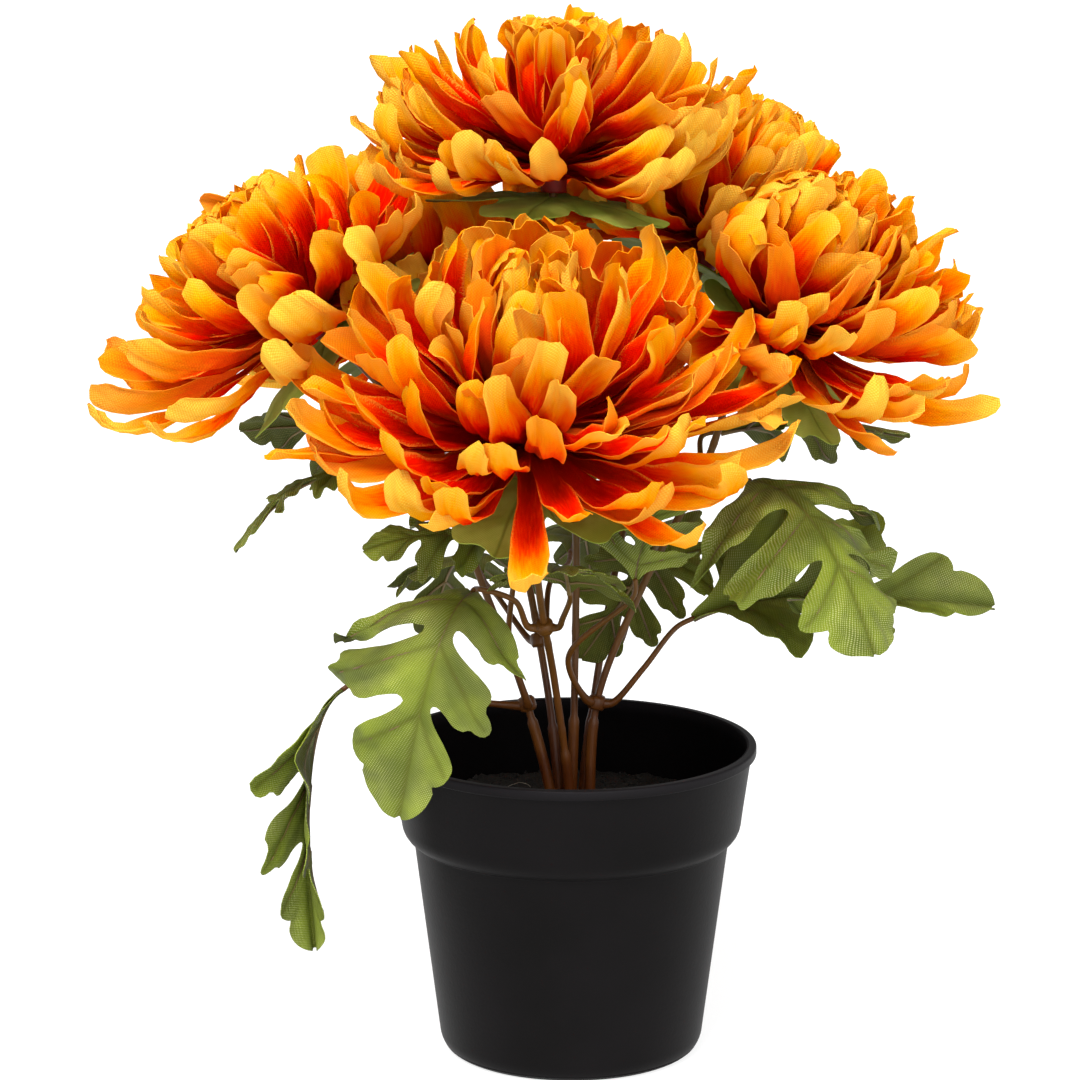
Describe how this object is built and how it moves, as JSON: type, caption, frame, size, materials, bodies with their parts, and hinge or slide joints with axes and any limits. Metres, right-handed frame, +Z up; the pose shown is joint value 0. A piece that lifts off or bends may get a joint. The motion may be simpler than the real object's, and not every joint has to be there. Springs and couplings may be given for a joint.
{
  "type": "pot chrysanthemum",
  "caption": "Artificial pot chrysanthemum: layered orange fabric blooms and lobed green fabric leaves on wired stems, in a black plastic pot.",
  "frame": {"origin": "centre of the pot's flat foot, on the surface it stands on", "axes": "+Z up along the pot's axis, -Y towards the side the plant is shown from, +X to its right"},
  "size_m": [0.2967, 0.2786, 0.3403],
  "materials": {
    "pot_plastic": "satin",
    "filler": "matte",
    "stem_plastic": "satin",
    "leaf_fabric": "matte",
    "petal_fabric": "matte"
  },
  "bodies": {
    "root": {"bloom_front": "petal_fabric", "bloom_left": "petal_fabric", "bloom_left_rear": "petal_fabric", "bloom_right": "petal_fabric", "bloom_right_rear": "petal_fabric", "bloom_top": "petal_fabric", "collar_front": "stem_plastic", "collar_left_high": "stem_plastic", "collar_left_low": "stem_plastic", "collar_left_rear": "stem_plastic", "collar_right_high": "stem_plastic", "collar_right_low": "stem_plastic", "collar_right_rear": "stem_plastic", "leaf_dark": "leaf_fabric", "leaf_far_left": "leaf_fabric", "leaf_far_right": "leaf_fabric", "leaf_front_left": "leaf_fabric", "leaf_inner_right": "leaf_fabric", "leaf_left_back": "leaf_fabric", "leaf_left_lobes": "leaf_fabric", "leaf_left_narrow": "leaf_fabric", "leaf_middle": "leaf_fabric", "leaf_rear": "leaf_fabric", "leaf_rear_left": "leaf_fabric", "leaf_rear_right": "leaf_fabric", "leaf_right_flat": "leaf_fabric", "leaf_right_hanging": "leaf_fabric", "pot": "pot_plastic", "rosette_front": "leaf_fabric", "rosette_left": "leaf_fabric", "rosette_left_rear": "leaf_fabric", "rosette_right": "leaf_fabric", "rosette_right_rear": "leaf_fabric", "rosette_top": "leaf_fabric", "soil": "filler", "stem_front": "stem_plastic", "stem_left": "stem_plastic", "stem_left_rear": "stem_plastic", "stem_right": "stem_plastic", "stem_right_rear": "stem_plastic", "stem_top": "stem_plastic"}
  },
  "joints": []
}
